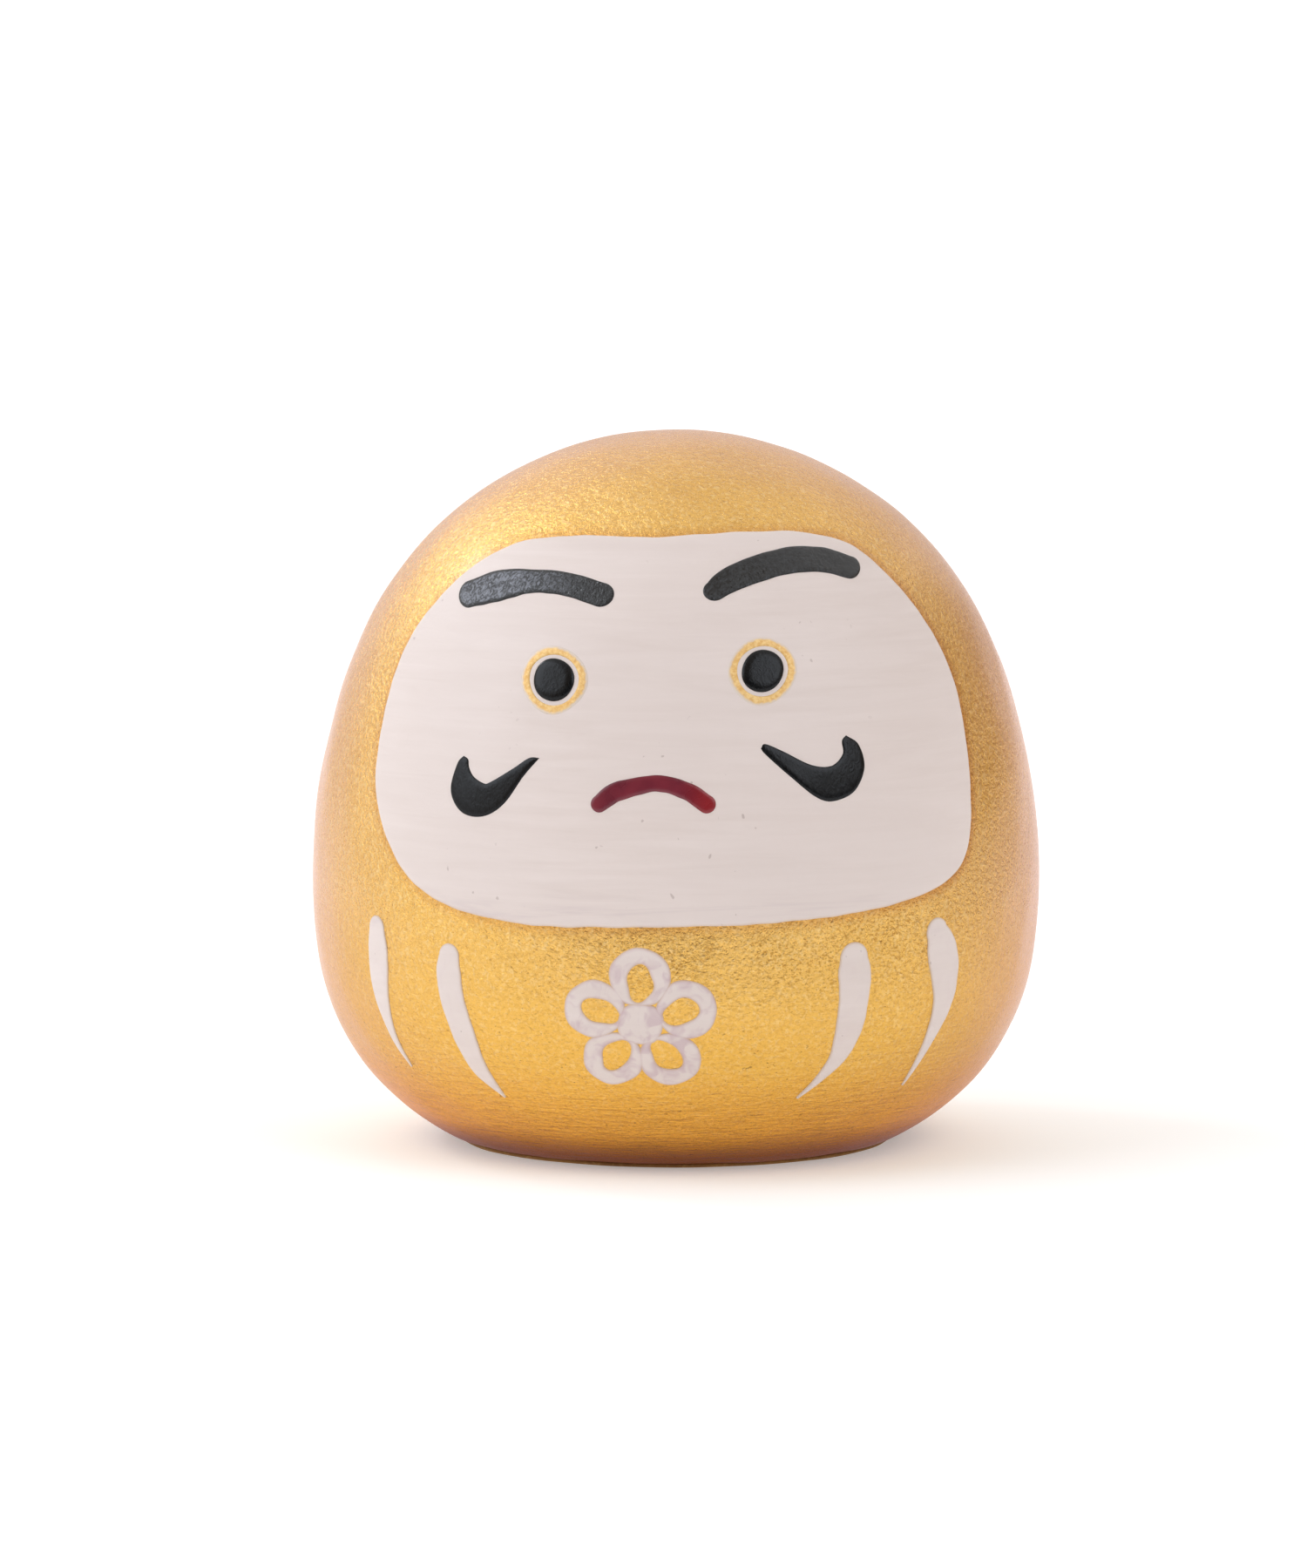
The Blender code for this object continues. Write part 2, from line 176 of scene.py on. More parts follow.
class Paint(Nodes):
    """A material being made: one Principled shader, and the nodes that feed it."""

    def __init__(self, name, **constants):
        self.material = bpy.data.materials.new(name)
        self.material.use_nodes = True
        super().__init__(self.material.node_tree)
        self.shader = self.tree.nodes["Principled BSDF"]
        self.feed_shader(**constants)

    def feed_shader(self, **values):
        """Sets or links the shader's sockets, named with _ for a space."""
        for name, value in values.items():
            feed(self.tree, self.shader.inputs[name.replace("_", " ")], value)

    def places(self, stretch=(1, 1, 1)):
        """Object coordinates in millimetres, squeezed or stretched along each axis."""
        place = self.node("TexCoord", "Object", {})
        per_mm = [1000 * share for share in stretch]
        return self.node("Mapping", 0, {}, Vector=place, Scale=per_mm)

    def noise(self, scale, stretch=(1, 1, 1), detail=2.0, rough=0.5, twist=0.0):
        """A cloudy value from 0 to 1, with scale counted in lumps a millimetre."""
        return self.node(
            "TexNoise", 0, {}, Vector=self.places(stretch), Scale=scale, Detail=detail,
            Roughness=rough, Distortion=twist,
        )

    def bump(self, height, depth):
        """Feeds the shader's normal from a height of 0 to 1 that stands depth metres proud."""
        self.feed_shader(Normal=self.node("Bump", 0, {}, Height=height, Strength=1.0, Distance=depth))

    def attribute(self, name):
        return self.node("Attribute", "Fac", {"attribute_name": name})


# The tent's cloth: how bright each direction is, seen from the doll.
world = bpy.data.worlds.new("light_tent")
world.use_nodes = True
bpy.context.scene.world = world
tent = Nodes(world.node_tree)
direction = tent.node("TexCoord", "Generated", {})


def patched(cloth, turn, rise, width, softness, brightness):
    """The cloth's brightness, taken to another one in a round patch about a direction."""
    settings = {"operation": "DOT_PRODUCT"}
    cosine = tent.node("VectorMath", "Value", settings, direction, towards(turn, rise))
    inner, outer = math.cos(math.radians(width)), math.cos(math.radians(width + softness))
    return cloth + cosine.between(outer, inner) * (brightness - cloth)


cloth = TENT_WHITE - tent.part(direction, "Z").between(*TENT_TURN) * (TENT_WHITE - TENT_TOP)
for patch in (DARK_FRONT, BACK_CLOTH, SIDE_LAMP, FRONT_FILL, FAR_SIDE, SIDE_WINDOW):
    cloth = patched(cloth, *patch)
sheet = world.node_tree.nodes["Background"]
feed(world.node_tree, sheet.inputs["Strength"], cloth)
tone = tent.mix(cloth.between(0.1, 0.9), DARK_TONE, WHITE_TONE)
tone = tent.mix(cloth.between(1.0, 2.2), tone, LAMP_TONE)
feed(world.node_tree, sheet.inputs["Color"], tone)


def grid_faces(rows, columns, closed_rows=False, closed_columns=True, first=0):
    """Quads over a grid of points numbered row by row from first, as four indices each."""
    down = np.arange(rows if closed_rows else rows - 1)
    across = np.arange(columns if closed_columns else columns - 1)
    down, across = np.meshgrid(down, across, indexing="ij")
    next_row, next_column = (down + 1) % rows, (across + 1) % columns
    corners = (
        down * columns + across,
        down * columns + next_column,
        next_row * columns + next_column,
        next_row * columns + across,
    )
    return np.stack(corners, -1).reshape(-1, 4) + first


def grid_mesh(name, shells):
    """A smooth mesh of closed shells, each a grid of points whose columns run round.

    A shell is (points by row and column, edge values alike or None, shut). A ring-shaped
    shell's rows run round too. Otherwise its first and last rows close on a pole each, the
    mean of that row. Faces are turned outwards by the sign of the shell's volume.
    """
    all_points, all_edges, all_faces, count = [], [], [], 0
    for points, edge, ring in shells:
        rows, columns = points.shape[:2]
        quads = grid_faces(rows, columns, closed_rows=ring, first=count)
        flat = points.reshape(-1, 3)
        values = np.ones(rows * columns) if edge is None else edge.ravel()
        faces = [quads]
        if not ring:
            poles = np.array([points[0].mean(0), points[-1].mean(0)])
            ends = [1.0, 1.0] if edge is None else [edge[0].mean(), edge[-1].mean()]
            flat, values = np.vstack((flat, poles)), np.append(values, ends)
            column = np.arange(columns)
            after = (column + 1) % columns
            last = (rows - 1) * columns
            top = np.full(columns, rows * columns)
            faces.append(np.stack((after, column, top), -1) + count)
            faces.append(np.stack((last + column, last + after, top + 1), -1) + count)
        volume = sum(
            np.linalg.det(flat[group[:, turn] - count] - flat.mean(0)).sum()
            for group in faces
            for turn in ([0, 1, 2], [0, 2, 3])[: group.shape[1] - 2]
        )
        for group in faces:
            all_faces += (group[:, ::-1] if volume < 0 else group).tolist()
        all_points.append(flat)
        all_edges.append(values)
        count += len(flat)
    mesh = bpy.data.meshes.new(name)
    mesh.from_pydata(np.vstack(all_points), [], all_faces)
    edges = np.concatenate(all_edges).astype(np.float32)
    mesh.attributes.new("edge", "FLOAT", "POINT").data.foreach_set("value", edges)
    mesh.shade_smooth()
    return mesh


def stand_piece(name, mesh, paint):
    piece = bpy.data.objects.new(name, mesh)
    mesh.materials.append(paint.material)
    bpy.context.scene.collection.objects.link(piece)
    return piece


# The floor is a flat round sheet of white board, lit faintly from below.
turn = np.linspace(0, 2 * math.pi, FLOOR_SPOKES, endpoint=False)
ring = np.linspace(0, 1, FLOOR_RINGS + 1)[1:, None] ** 3 * FLOOR_RADIUS
rings = np.stack((ring * np.cos(turn), ring * np.sin(turn), 0 * ring * turn), -1)
floor_mesh = bpy.data.meshes.new("floor")
floor_points = np.vstack((rings.reshape(-1, 3), np.zeros((1, 3))))
spokes = np.arange(FLOOR_SPOKES)
middle = np.full(FLOOR_SPOKES, len(floor_points) - 1)
centre_faces = np.stack((spokes, (spokes + 1) % FLOOR_SPOKES, middle), -1).tolist()
ring_faces = grid_faces(FLOOR_RINGS, FLOOR_SPOKES)[:, ::-1].tolist()
floor_mesh.from_pydata(floor_points, [], ring_faces + centre_faces)
board = Paint("white_board", Base_Color=BOARD_WHITE, Roughness=0.85)
board.feed_shader(Emission_Color=(1.0, 1.0, 1.0), Emission_Strength=BOARD_GLOW)
floor = stand_piece("floor", floor_mesh, board)


# ---------------------------------------------------------------- body shell
# Layers of paper pasted over a mould and dried: a hollow, egg-shaped shell with an open,
# lipped foot. Three arcs make its side and a small rounding turns it in under the foot. It is
# brushed all over with gold paint that dries to a fine wrinkle.

ARC_RADII = np.array([33.0, 57.7, 22.8, 0.8]) * MM
ARC_TURNS = np.radians([67.0, 30.2, 57.9, 24.9])
CROWN_HEIGHT = 68.2 * MM
WALL = 1.2 * MM
FOOT_LIP = 2.2 * MM
LUMP_HEIGHT = 0.03 * MM
LUMP_LENGTHS = (5 * MM, 16 * MM)
BODY_COLUMNS = 320
OUTSIDE_ROWS = 210
INSIDE_ROWS = 30

arc_headings = np.append(0, np.cumsum(ARC_TURNS))
arc_ends = np.append(0, np.cumsum(ARC_RADII * ARC_TURNS))
arc_centres = np.zeros((4, 2))
arc_centres[0] = 0, CROWN_HEIGHT - ARC_RADII[0]
for arc in range(1, 4):
    heading = arc_headings[arc]
    step = (ARC_RADII[arc - 1] - ARC_RADII[arc]) * np.array((math.sin(heading), math.cos(heading)))
    arc_centres[arc] = arc_centres[arc - 1] + step


def meridian(down):
    """Radius, height and heading of the body at a distance down its side from the crown.

    On an arc the heading grows evenly with the distance, and the point is the arc's centre
    plus its radius times the sine and cosine of the heading.
    """
    down = np.asarray(down, float)
    heading = np.interp(down, arc_ends, arc_headings)
    arc = np.clip(np.searchsorted(arc_ends, down, side="right") - 1, 0, 3)
    r = arc_centres[arc, 0] + ARC_RADII[arc] * np.sin(heading)
    z = arc_centres[arc, 1] + ARC_RADII[arc] * np.cos(heading)
    return r, z, heading


side_downs = np.linspace(0, arc_ends[-1], 4001)
side_heights = meridian(side_downs)[1]


def down_to(height):
    """The distance down the side from the crown to a height."""
    return np.interp(-np.asarray(height, float), -side_heights, side_downs)


lump_draw = np.random.default_rng(7)
lump_ways = lump_draw.normal(size=(26, 3))
lump_ways /= np.linalg.norm(lump_ways, axis=1)[:, None]
lump_ways *= 2 * math.pi / lump_draw.uniform(*LUMP_LENGTHS, 26)[:, None]
lump_starts = lump_draw.uniform(0, 2 * math.pi, 26)


def lumps(points):
    """How far the pasted paper stands out: the mean of many slanting ripples of low height."""
    ripples = np.sin(points @ lump_ways.T + lump_starts)
    return LUMP_HEIGHT * ripples.sum(-1) / math.sqrt(len(lump_starts) / 2)


def on_body(angle, down, lift=0.0):
    """Points at an angle round the body (radians) and a distance down it, raised by lift.

    The point is the meridian's, turned round by the angle, plus the lift and the body's lumps
    along the outward normal.
    """
    r, z, heading = meridian(down)
    out = np.stack((np.sin(angle), -np.cos(angle)), -1)
    base = np.concatenate((out * r[..., None], z[..., None]), -1)
    normal = np.concatenate((out * np.sin(heading)[..., None], np.cos(heading)[..., None]), -1)
    return base + normal * (lift + lumps(base))[..., None]


# The edge of the face as places on the body: degrees round it and millimetres up.
FACE_EDGE = (
    (0, 59.65), (24, 60.05), (40, 59.65), (50, 58.1), (57, 52.85), (60.2, 46.85), (59.3, 40.3),
    (56.8, 32.0), (52.1, 28.2), (42, 26.25), (24, 25.0), (0, 24.5), (-20, 24.55), (-35.5, 26.15),
    (-44.8, 29.8), (-51.6, 35.85), (-53.8, 43.35), (-53, 49.85), (-47, 55.35), (-37, 58.6),
    (-20, 59.65),
)  # fmt: skip


def smooth(points, closed, steps):
    """Points on the Catmull-Rom curve through the given rows, steps to each span."""
    points = np.array(points, float)
    if closed:
        padded = np.vstack((points[-1:], points, points[:2]))
    else:
        padded = np.vstack((2 * points[0] - points[1], points, 2 * points[-1] - points[-2]))
    before, start = padded[:-3, None], padded[1:-2, None]
    end, after = padded[2:-1, None], padded[3:, None]
    t = (np.arange(steps) / steps)[None, :, None]
    curve = 0.5 * (
        2 * start
        + (end - before) * t
        + (2 * before - 5 * start + 4 * end - after) * t**2
        + (3 * start - before - 3 * end + after) * t**3
    )
    curve = curve.reshape(-1, points.shape[1])
    return curve if closed else np.vstack((curve, points[-1:]))


def unrolled(places):
    """Places (degrees, mm up) as metres across and up on the body laid flat at its girth."""
    places = np.asarray(places, float)
    down = down_to(places[..., 1] * MM)
    return np.stack((np.radians(places[..., 0]) * meridian(down)[0], -down), -1)


def distance_to_loop(points, loop):
    """Distance in the plane from each point to the nearest stretch of a closed outline."""
    flat = points.reshape(-1, 2)
    nearest = np.full(len(flat), np.inf)
    for start, end in zip(loop, np.roll(loop, -1, axis=0)):
        along = end - start
        share = np.clip(((flat - start) @ along) / max(along @ along, 1e-18), 0, 1)
        gap = flat - start - share[:, None] * along
        nearest = np.minimum(nearest, np.einsum("ij,ij->i", gap, gap))
    return np.sqrt(nearest).reshape(points.shape[:-1])


around = np.linspace(0, 2 * math.pi, BODY_COLUMNS, endpoint=False) + math.pi
outside_down = np.linspace(0, arc_ends[-1], OUTSIDE_ROWS + 1)[1:]
outside = on_body(around[None, :], np.repeat(outside_down[:, None], BODY_COLUMNS, 1))
ring_out = np.stack((np.sin(around), -np.cos(around)), -1)


def level_ring(r, z):
    return np.concatenate((ring_out * r, np.full((BODY_COLUMNS, 1), z)), -1)[None]


foot_r, foot_z, _ = meridian(arc_ends[-1])
lip = [level_ring(foot_r - FOOT_LIP * share, foot_z) for share in (0.3, 0.6, 0.9, 1.0)]
lip += [level_ring(foot_r - FOOT_LIP, foot_z + WALL * share) for share in (0.1, 0.5, 1.0)]
inside_down = np.linspace(arc_ends[3], 0, INSIDE_ROWS + 1)[:-1]
inner_r, inner_z, inner_heading = meridian(inside_down)
inner_r, inner_z = inner_r - WALL * np.sin(inner_heading), inner_z - WALL * np.cos(inner_heading)
inside = [level_ring(r, z) for r, z in zip(inner_r, inner_z)]
body_points = np.concatenate((outside, *lip, *inside))

# How near each point lies to the painted edge of the face: 1 at it, 0 from a stroke away.
FACE_POOL = 0.7 * MM
face_loop = unrolled(smooth(FACE_EDGE, True, 8))
near_face = np.zeros(body_points.shape[:2])
front_angle = (around + math.pi) % (2 * math.pi) - math.pi
flat_x = front_angle * meridian(outside_down)[0][:, None]
flat_body = np.stack((flat_x, np.broadcast_to(-outside_down[:, None], flat_x.shape)), -1)
near_face[:OUTSIDE_ROWS] = np.exp(-((distance_to_loop(flat_body, face_loop) / FACE_POOL) ** 2))

body_mesh = grid_mesh("body_shell_painted", [(body_points, near_face, False)])


GOLD_EDGE_TINT = (0.82, 0.64, 0.76)
GOLD_RELIEF = 0.27 * MM


def gold_paint(name, by_edge):
    """Gold flake in a clear lacquer, crinkled as it dries. Brown in the crinkles' hollows is painted
    shade. Brown also shows as fine grains where the flake lies thin: under the face on one side,
    and down by the foot. Pale glints on the grain's peaks are painted highlights. Low down it
    turns a deeper yellow, a painted reflection, then orange and dark brown at the foot, painted
    shade. It is browner low on the right, painted shade too. Brown pools along the edge of the
    face, with more on the right side as painted shade."""
    paint = Paint(name, Metallic=1.0, Specular_Tint=GOLD_EDGE_TINT)
    up, across = paint.part(paint.places(), "Z"), paint.part(paint.places(), "X")
    low, under, rim = up.between(26.0, 12.0), up.between(11.0, 3.0), up.between(4.0, 1.2)
    paint.feed_shader(Coat_Weight=0.55 - low * 0.07 - under * 0.42, Coat_Roughness=0.25, Coat_IOR=1.45)
    thin = up.between(14.0, 23.0) * up.between(30.0, 25.0) * across.between(-16.0, 2.0)
    thin = thin * across.between(34.0, 20.0)
    clouds = paint.noise(0.11, detail=2.0)
    grain = paint.noise(2.3, detail=3.0, rough=0.65, twist=0.6)
    wrinkle = paint.noise(1.05, stretch=(1, 1, 1.2), detail=3.0, rough=0.6, twist=1.6)
    lines = paint.noise(1.3, stretch=(0.2, 0.2, 2.2), detail=3.0, rough=0.6, twist=0.6)
    fine = paint.noise(3.4, stretch=(0.8, 0.8, 1.3), detail=2.0, rough=0.7)
    speck = paint.noise(3.2, stretch=(0.8, 0.8, 1.2), detail=1.0).between(0.68, 0.76)
    patchy = paint.noise(0.16, detail=2.0).between(0.35, 0.62)
    colour = paint.mix(clouds.between(0.3, 0.7), linear("EBBC68"), linear("E2B25A"))
    # A deeper yellow on the lower body: a painted reflection.
    colour = paint.mix(low, colour, linear("E6B450"))
    # Pale cream on the grain's peaks, less low down: painted glints of the lamps.
    colour = paint.mix(grain.between(0.5, 0.66) * (0.34 - low * 0.1), colour, linear("FCE4AA"))
    # Brown in the crinkles' hollows: painted shade.
    colour = paint.mix(wrinkle.between(0.46, 0.3) * (0.2 - low * 0.1), colour, linear("B07A26"))
    # More orange towards the foot: painted shade under the body.
    colour = paint.mix(under * 0.75, colour, linear("EEAC3C"))
    # Browner low on the right side: painted shade.
    painted_shade_low_right = across.between(24.0, 34.0) * up.between(36.0, 28.0)
    colour = paint.mix(painted_shade_low_right * 0.35, colour, linear("C48E44"))
    # Dark brown right down at the foot: painted shade where it meets the floor.
    colour = paint.mix(rim * 0.85, colour, linear("8C4808"))
    dotted = fine.between(0.5, 0.62) * (0.15 + low * 0.1 + thin * (0.2 + patchy * 0.45))
    colour = paint.mix(dotted, colour, linear("A87420"))
    colour = paint.mix(lines.between(0.54, 0.64) * under * 0.35, colour, linear("A06C1C"))
    colour = paint.mix(speck * (0.2 + (low + thin) * patchy * 0.4), colour, linear("5E3A12"))
    # Brown along the face's edge where the gold pooled; the extra share on the right side is painted
    # shade.
    pool_and_shade = paint.attribute("edge") * (by_edge + across.between(12.0, 28.0) * 0.3)
    colour = paint.mix(pool_and_shade, colour, linear("B46C20"))
    paint.feed_shader(Base_Color=colour, Roughness=0.2 + low * 0.05 + grain * 0.14)
    relief = grain * (0.5 - low * 0.18) + wrinkle * (0.44 - low * 0.14)
    relief = relief + lines * (low * 0.3 + under * 0.45)
    paint.bump(relief, GOLD_RELIEF)
    return paint


gold = gold_paint("gold_paint", 0.35)
body = stand_piece("body_shell_painted", body_mesh, gold)
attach(body, "root")
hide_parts("body_shell")


# ---------------------------------------------------------------- foot and weight
# Paper brushed with thin gold-brown paint is pasted over the foot. Behind it are the card
# that closes the foot, and inside the clay weight under its own pasted paper.

BASE_PAPER_RADIUS = 20.9 * MM
BASE_PAPER_THICKNESS = 0.42 * MM
BASE_PAPER_WAVE = 0.06 * MM
BASE_PAPER_COLUMNS = 240
BASE_PAPER_RINGS = 30
BASE_PAPER_EDGE_ROWS = 7

base_turn = np.linspace(0, 2 * math.pi, BASE_PAPER_COLUMNS, endpoint=False)
torn = BASE_PAPER_RADIUS + BASE_PAPER_WAVE * (np.sin(7 * base_turn) + np.sin(17 * base_turn + 1) * 0.6)
# Rows run from the top's middle over a rounded edge to the middle of the underside.
out_shares = np.linspace(0.02, 0.97, BASE_PAPER_RINGS)
shares = np.concatenate((out_shares, np.ones(BASE_PAPER_EDGE_ROWS), out_shares[::-1]))
edge_swing = np.linspace(0, math.pi, BASE_PAPER_EDGE_ROWS)
flat_swing = np.zeros(BASE_PAPER_RINGS)
swing = np.concatenate((flat_swing, edge_swing, flat_swing + math.pi))
bulge = np.sin(swing) * BASE_PAPER_THICKNESS / 2
base_r = shares[:, None] * (torn - BASE_PAPER_THICKNESS / 2) + bulge[:, None]
base_z = (1 + np.cos(swing))[:, None] * BASE_PAPER_THICKNESS / 2 + 0 * base_turn
base_points = np.stack((base_r * np.cos(base_turn), base_r * np.sin(base_turn), base_z), -1)
base_mesh = grid_mesh("base_paper_pasted", [(base_points, None, False)])

washed = Paint("washed_paper", Metallic=0.0)
fibres = washed.noise(0.9, stretch=(1.0, 0.25, 1.0), detail=4.0, rough=0.7, twist=1.5)
wash = washed.noise(0.12, detail=3.0)
wash_colour = washed.mix(wash.between(0.35, 0.65), linear("8A6130"), linear("A87B40"))
washed.feed_shader(Base_Color=washed.mix(fibres.between(0.5, 0.7) * 0.5, wash_colour, linear("C9A468")))
washed.feed_shader(Roughness=0.6 + fibres * 0.3)
washed.bump(fibres, 0.05 * MM)
base_paper = stand_piece("base_paper_pasted", base_mesh, washed)
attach(base_paper, "root")
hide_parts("base_paper")


def dull_finish(name, light, dark, lump_scale, stretch, roughness, relief):
    """A plain dry finish of two close tones, such as card, clay or unpainted paper."""
    dull = Paint(name)
    cloud = dull.noise(lump_scale, stretch=stretch, detail=5.0, rough=0.65, twist=0.8)
    dull.feed_shader(Base_Color=dull.mix(cloud.between(0.3, 0.7), linear(light), linear(dark)))
    dull.feed_shader(Roughness=roughness - cloud * 0.15)
    dull.bump(cloud, relief)
    return dull.material


HIDDEN_FINISHES = {
    "base_disc": dull_finish("grey_card", "AE9F86", "97876C", 0.8, (1, 0.3, 1), 0.95, 0.05 * MM),
    "clay_weight": dull_finish("dried_clay", "9A8670", "7D6954", 0.5, (1, 1, 1), 0.98, 0.15 * MM),
    "weight_paper": dull_finish("pasted_paper", "E0D6C0", "CDBF9F", 0.7, (0.4, 1, 1), 0.95, 0.06 * MM),
}
for node, material in HIDDEN_FINISHES.items():
    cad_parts[node].data.materials.clear()
    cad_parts[node].data.materials.append(material)


# ---------------------------------------------------------------- face
# The face is a thick coat of shell-white paint, brushed level and rounded at its edge, laid
# over the gold. The streaks of the brush show faintly in it.

FACE_THICKNESS = 0.16 * MM
FACE_SHOULDER = 0.45 * MM
SUNK = 0.03 * MM
EDGE_WAVE = 0.05 * MM
FACE_MIDDLE = (1.0, 42.0)
FACE_SPOKES_A_SPAN = 26
FACE_INNER_RINGS = 70
FACE_EDGE_RINGS = 10
RIPPLE_LENGTH = 2.6 * MM


def bead(depth, shoulder):
    """The share of full thickness at a depth in from a film's edge: a quarter round, then level."""
    inward = np.clip(depth / shoulder, 0, 1)
    return np.sqrt(1 - (1 - inward) ** 2)


def wavering(loop, size, seed):
    """A hand-drawn outline: the loop moved in and out by a few slow ripples along its length."""
    steps = np.linalg.norm(np.roll(loop, -1, axis=0) - loop, axis=1)
    length = steps.sum()
    along = np.append(0, np.cumsum(steps)[:-1]) * 2 * math.pi / length
    slope = np.roll(loop, -1, axis=0) - np.roll(loop, 1, axis=0)
    out = np.stack((slope[:, 1], -slope[:, 0]), -1) / np.linalg.norm(slope, axis=1)[:, None]
    draw = np.random.default_rng(seed)
    ripple = np.zeros(len(loop))
    for count in range(2, max(5, round(length / RIPPLE_LENGTH))):
        ripple += draw.normal() * np.sin(count * along + draw.uniform(0, 2 * math.pi)) / count**0.6
    return loop + out * (size * ripple / ripple.std())[:, None]


def rolled(flat):
    """The reverse of unrolled: metres across and up on the flat body, as angle and distance down."""
    down = -flat[..., 1]
    return flat[..., 0] / np.maximum(meridian(down)[0], 1e-6), down


def film_shell(flat, depth, thickness, shoulder, base):
    """One closed film of paint over a grid of flat points whose rows run from pole to pole.

    Above, it stands base plus its thickness times the bead proud of the body. Its underside is
    the same grid, sunk a little below base, row for row in reverse.
    """
    angle, down = rolled(flat)
    share = bead(depth, shoulder)
    above = on_body(angle, down, base + thickness * share)
    below = on_body(angle, down, np.full(down.shape, base - SUNK))
    return above, below, np.clip(depth / shoulder, 0, 1)


def film_from_middle(outline, middle, thickness, shoulder, base, inner_rings, edge_rings):
    """A film whose grid runs out along spokes from a middle point to its outline.

    The spokes' rings are even up to the shoulder, then close together over it.
    """
    spoke = outline - middle
    reach = np.linalg.norm(spoke, axis=1).mean()
    start = 1 - 1.3 * shoulder / reach
    shoulder_steps = 1 - (1 - np.linspace(0, 1, edge_rings + 1)) ** 2
    inner_shares = np.linspace(0, start, inner_rings + 1)[1:-1]
    shares = np.concatenate((inner_shares, start + (1 - start) * shoulder_steps))
    flat = middle + shares[:, None, None] * spoke
    depth = distance_to_loop(flat, outline)
    above, below, edge = film_shell(flat, depth, thickness, shoulder, base)
    points = np.concatenate((above, below[::-3]))
    return points, np.concatenate((edge, edge[::-3])), False


face_outline = wavering(unrolled(smooth(FACE_EDGE, True, FACE_SPOKES_A_SPAN)), EDGE_WAVE, 3)
face_middle = unrolled(FACE_MIDDLE)
face_shell = film_from_middle(
    face_outline, face_middle, FACE_THICKNESS, FACE_SHOULDER, 0.0, FACE_INNER_RINGS, FACE_EDGE_RINGS
)
face_mesh = grid_mesh("face_coat_painted", [face_shell])


def shell_white(name, thin, lilac):
    """Off-white paint with faint level brush streaks and a rare speck of dust. Where it thins at
    its edge, the gold beneath warms it, and a thin coat over gold dries patchy and lilac."""
    white = Paint(name, IOR=1.45)
    streaks = white.noise(0.55, stretch=(0.12, 0.12, 1.5), detail=4.0, rough=0.6, twist=0.6)
    cloud = white.noise(0.07, detail=2.0)
    pores = white.noise(2.1, detail=3.0, rough=0.6)
    dusty = white.noise(0.05, detail=0.0).between(0.5, 0.56)
    dust = white.noise(1.7, detail=0.0).between(0.82, 0.85) * dusty
    edge, up = white.attribute("edge"), white.part(white.places(), "Z")
    colour = white.mix(streaks.between(0.3, 0.7), linear("E3D7D2"), linear("DCCFC9"))
    colour = white.mix(cloud.between(0.35, 0.65) * 0.5, colour, linear("DFD3CE"))
    low_edge = up.between(28.0, 25.0) * up.between(22.0, 24.0)
    colour = white.mix(streaks.between(0.5, 0.62) * low_edge * 0.3, colour, linear("C9BABF"))
    blotch = white.noise(0.6, detail=2.0, twist=0.8).between(0.48, 0.66)
    colour = white.mix((blotch * 0.6 + edge.between(1.0, 0.3) * 0.4) * lilac, colour, linear("C4ABB2"))
    colour = white.mix(dust * 0.4, colour, linear("8E7772"))
    colour = white.mix(edge.between(0.55, 0.0) * thin, colour, linear("CDB08C"))
    white.feed_shader(Base_Color=colour, Roughness=0.4 + pores * 0.2)
    white.bump(streaks * 0.5 + pores * 0.35, 0.05 * MM)
    return white


face_white = shell_white("shell_white", 0.5, 0.0)
face = stand_piece("face_coat_painted", face_mesh, face_white)
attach(face, "root")
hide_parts("face_coat")


# ---------------------------------------------------------------- eyes
# Each eye is a ring of gold paint on the white, soft at its outer edge, round a thick round
# drop of black enamel that stands up like a bead.

EYES = {"left": (-17.3, 46.85), "right": (19.2, 47.75)}
PUPIL_RADIUS = 2.03 * MM
EYE_WHITE = 0.4 * MM
EYE_RING_WIDTH = 0.82 * MM
RING_THICKNESS = 0.07 * MM
RING_SHOULDER = 0.3 * MM
RING_FADE = 0.55 * MM
PUPIL_THICKNESS = 0.3 * MM
PUPIL_SHOULDER = 0.9 * MM
EYE_SPOKES = 120
RING_STEPS = 15


def oval(middle, wide, high, lean, points):
    """A loop round a middle point, with half sizes across and up, leaning by an angle."""
    turn = np.linspace(0, 2 * math.pi, points, endpoint=False)
    x, y = wide * np.cos(turn), high * np.sin(turn)
    lean_x, lean_y = math.cos(lean), math.sin(lean)
    return middle + np.stack((x * lean_x - y * lean_y, x * lean_y + y * lean_x), -1)


def ring_film(inner, outer, thickness, shoulder, base, steps, fade=0.0):
    """A ring-shaped film between two loops with as many points each: across it over the top
    from the inner loop to the outer one, and back beneath. With a fade, its edge value tells
    only how far in from the outer loop a point lies, as a share of the fade."""
    share = (1 - np.cos(np.linspace(0, math.pi, steps))) / 2
    flat = inner[:, None] + (outer - inner)[:, None] * share[None, :, None]
    depth = np.minimum(distance_to_loop(flat, inner), distance_to_loop(flat, outer))
    above, below, edge = film_shell(flat, depth, thickness, shoulder, base)
    if fade:
        edge = np.clip(distance_to_loop(flat, outer) / fade, 0, 1)
    points = np.concatenate((above, below[:, ::-3]), 1)
    return points, np.concatenate((edge, edge[:, ::-3]), 1), True


